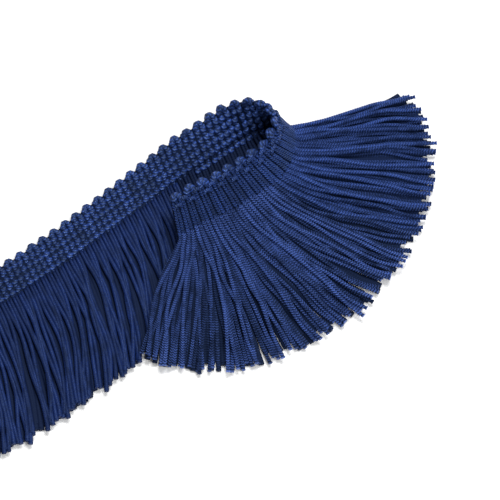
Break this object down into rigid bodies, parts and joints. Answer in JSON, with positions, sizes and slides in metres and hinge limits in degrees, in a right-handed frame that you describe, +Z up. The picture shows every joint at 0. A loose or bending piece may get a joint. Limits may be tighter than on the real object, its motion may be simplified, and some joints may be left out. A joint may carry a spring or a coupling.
{
  "type": "chainette fringe trim",
  "caption": "Looped heading with picot edge and two layers of chained strands, curled on itself at one end; edges curtains, lampshades and cushions.",
  "frame": {"origin": "on the table under the middle of the trim's bounding box", "axes": "+X along the trim from its flat tail to the bend, -Y the way the flat tail's strands run, +Z up from the table"},
  "size_m": [0.2066, 0.1734, 0.022],
  "materials": {
    "heading_yarn": "navy viscose yarn, looped and braided, softly lustrous",
    "strand_yarn": "navy viscose chained cord, bright sheen with dark gaps between strands"
  },
  "bodies": {
    "root": {"heading": "heading_yarn", "fringe_tail": "strand_yarn", "fringe_inner": "strand_yarn", "fringe_right": "strand_yarn", "fringe_front": "strand_yarn"}
  },
  "joints": []
}
